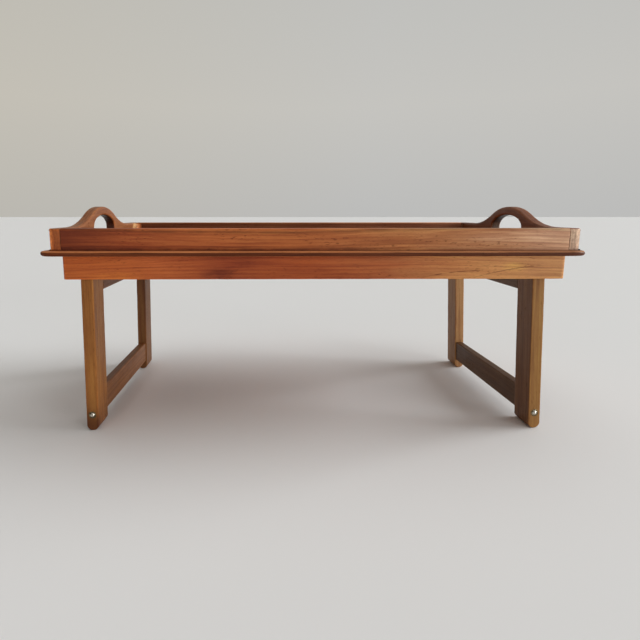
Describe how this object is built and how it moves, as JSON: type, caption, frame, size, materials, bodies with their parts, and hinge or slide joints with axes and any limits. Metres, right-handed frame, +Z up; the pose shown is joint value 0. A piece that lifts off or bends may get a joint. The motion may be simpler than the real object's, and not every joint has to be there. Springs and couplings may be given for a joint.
{
  "type": "bed tray with folding legs",
  "caption": "Wooden bed tray: a low gallery with arched, pierced handles on a rimmed board, over an apron that hides two inward-folding leg frames with ball catches.",
  "frame": {"origin": "middle of the tray's footprint, on the surface that the feet stand on", "axes": "+X along the tray's length to the right, +Y across it away from the user, +Z up"},
  "size_m": [0.675, 0.382, 0.3015],
  "materials": {
    "board_wood": "oiled dark reddish-brown hardwood, satin",
    "rail_wood": "oiled red-brown hardwood with straight dark grain, satin",
    "end_wood": "oiled light brown hardwood, satin",
    "apron_wood": "oiled orange-brown hardwood with dark streaks, satin",
    "leg_wood": "oiled medium brown hardwood, grain along the piece, satin",
    "dowel_wood": "plain beech",
    "brass": "aged brass, lightly polished",
    "steel": "bright steel"
  },
  "bodies": {
    "tray": {"tray_board": "board_wood", "gallery_front": "rail_wood", "gallery_back": "rail_wood", "end_board_left": "end_wood", "end_board_right": "end_wood", "apron_front": "apron_wood", "apron_back": "apron_wood", "apron_left": "apron_wood", "apron_right": "apron_wood", "dowel_front_left_lower": "dowel_wood", "dowel_front_left_upper": "dowel_wood", "dowel_front_right_lower": "dowel_wood", "dowel_front_right_upper": "dowel_wood", "dowel_back_left_lower": "dowel_wood", "dowel_back_left_upper": "dowel_wood", "dowel_back_right_lower": "dowel_wood", "dowel_back_right_upper": "dowel_wood", "board_screw_1": "brass", "board_screw_2": "brass", "board_screw_3": "brass", "board_screw_4": "brass", "board_screw_5": "brass", "board_screw_6": "brass", "board_screw_7": "brass", "board_screw_8": "brass", "pivot_screw_front_left": "steel", "pivot_screw_front_right": "steel", "pivot_screw_back_left": "steel", "pivot_screw_back_right": "steel", "pivot_washer_front_left": "brass", "pivot_washer_front_right": "brass", "pivot_washer_back_left": "brass", "pivot_washer_back_right": "brass", "strike_cup_front_left": "brass", "strike_cup_front_right": "brass", "strike_cup_back_left": "brass", "strike_cup_back_right": "brass"},
    "left_leg_frame": {"leg_front_left": "leg_wood", "leg_back_left": "leg_wood", "upper_rail_left": "leg_wood", "stretcher_left": "leg_wood", "catch_barrel_front_left": "brass", "catch_spring_front_left": "steel", "catch_barrel_back_left": "brass", "catch_spring_back_left": "steel"},
    "right_leg_frame": {"leg_front_right": "leg_wood", "leg_back_right": "leg_wood", "upper_rail_right": "leg_wood", "stretcher_right": "leg_wood", "catch_barrel_front_right": "brass", "catch_spring_front_right": "steel", "catch_barrel_back_right": "brass", "catch_spring_back_right": "steel"},
    "front_left_ball": {"catch_ball_front_left": "steel"},
    "back_left_ball": {"catch_ball_back_left": "steel"},
    "front_right_ball": {"catch_ball_front_right": "steel"},
    "back_right_ball": {"catch_ball_back_right": "steel"}
  },
  "joints": [
    {"name": "left_leg_fold", "type": "hinge", "parent": "tray", "child": "left_leg_frame", "pos_m": [-0.29111, 0, 0.23], "axis": [0, -1, 0], "range_deg": [0, 91.2]},
    {"name": "right_leg_fold", "type": "hinge", "parent": "tray", "child": "right_leg_frame", "pos_m": [0.29561, 0, 0.23], "axis": [0, 1, 0], "range_deg": [0, 93.1]},
    {"name": "front_left_ball_press", "type": "slide", "parent": "left_leg_frame", "child": "front_left_ball", "axis": [0, 1, 0], "range_m": [0, 0.0015], "stiffness_N_per_m": 500, "springref_m": -0.002, "deforming": ["catch_spring_front_left"]},
    {"name": "back_left_ball_press", "type": "slide", "parent": "left_leg_frame", "child": "back_left_ball", "axis": [0, -1, 0], "range_m": [0, 0.0015], "stiffness_N_per_m": 500, "springref_m": -0.002, "deforming": ["catch_spring_back_left"]},
    {"name": "front_right_ball_press", "type": "slide", "parent": "right_leg_frame", "child": "front_right_ball", "axis": [0, 1, 0], "range_m": [0, 0.0015], "stiffness_N_per_m": 500, "springref_m": -0.002, "deforming": ["catch_spring_front_right"]},
    {"name": "back_right_ball_press", "type": "slide", "parent": "right_leg_frame", "child": "back_right_ball", "axis": [0, -1, 0], "range_m": [0, 0.0015], "stiffness_N_per_m": 500, "springref_m": -0.002, "deforming": ["catch_spring_back_right"]}
  ]
}
